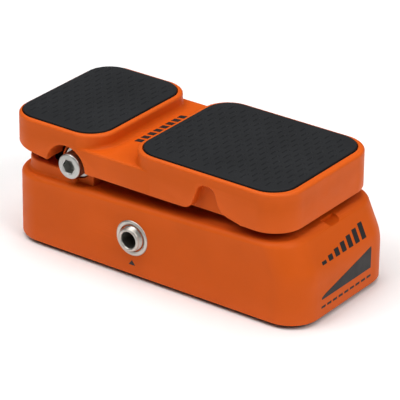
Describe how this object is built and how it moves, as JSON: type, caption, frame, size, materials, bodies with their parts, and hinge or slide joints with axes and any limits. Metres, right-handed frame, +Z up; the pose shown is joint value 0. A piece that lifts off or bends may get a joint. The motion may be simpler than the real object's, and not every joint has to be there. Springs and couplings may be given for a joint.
{
  "type": "volume pedal",
  "caption": "Compact guitar volume pedal: cast base, rocking treadle with rubber pads, a jack on each side and a gear-driven potentiometer inside.",
  "frame": {"origin": "on the floor, under the middle of the base", "axes": "+X towards the toe along the pedal's length, +Y to the output jack's side, +Z up"},
  "size_m": [0.134, 0.0662, 0.052],
  "materials": {
    "casting_paint": "satin powder coat",
    "plate_paint": "matt black powder coat",
    "black_rubber": "matt moulded rubber",
    "screw_steel": "bright steel",
    "zinc_sheet": "zinc-plated sheet",
    "nickel_plate": "nickel plated",
    "black_plastic": "moulded",
    "tinned_brass": "tinned",
    "turned_brass": "turned",
    "sintered_bronze": "oil-filled sintered bronze",
    "black_oxide_steel": "black oxide",
    "cut_aluminium": "machined",
    "wire_insulation": "pvc"
  },
  "bodies": {
    "base": {"base_shell": "casting_paint", "bottom_plate": "plate_paint", "plate_screws": "screw_steel", "rubber_feet": "black_rubber", "toe_bumpers": "black_rubber", "heel_bumpers": "black_rubber", "hinge_bushings": "sintered_bronze", "input_jack_body": "black_plastic", "input_jack_bushing": "nickel_plate", "input_jack_nut": "nickel_plate", "input_jack_lugs": "tinned_brass", "output_jack_body": "black_plastic", "output_jack_bushing": "nickel_plate", "output_jack_nut": "nickel_plate", "output_jack_lugs": "tinned_brass", "pot_bracket": "zinc_sheet", "bracket_screws": "screw_steel", "pot_body": "black_plastic", "pot_bushing": "nickel_plate", "pot_washer": "screw_steel", "pot_nut": "turned_brass", "pot_lugs": "tinned_brass", "hookup_wires": "wire_insulation"},
    "treadle": {"treadle_shell": "casting_paint", "heel_pad": "black_rubber", "toe_pad": "black_rubber", "hinge_shaft": "screw_steel", "hinge_washers": "screw_steel", "hinge_screws": "screw_steel", "gear_sector": "cut_aluminium", "sector_screws": "screw_steel"},
    "spindle": {"pot_shaft": "screw_steel", "pinion_gear": "turned_brass", "pinion_set_screw": "black_oxide_steel"}
  },
  "joints": [
    {"name": "treadle_tilt", "type": "hinge", "parent": "base", "child": "treadle", "pos_m": [-0.0368, 0, 0.0375], "axis": [0, 1, 0], "range_deg": [-13, 1.5]},
    {"name": "pot_turn", "type": "hinge", "parent": "base", "child": "spindle", "pos_m": [0.027, 0, 0.0204], "axis": [0, 1, 0], "range_deg": [-16, 131]}
  ],
  "couplings": [
    {"joint": "pot_turn", "follows": "treadle_tilt", "ratio": -10}
  ]
}
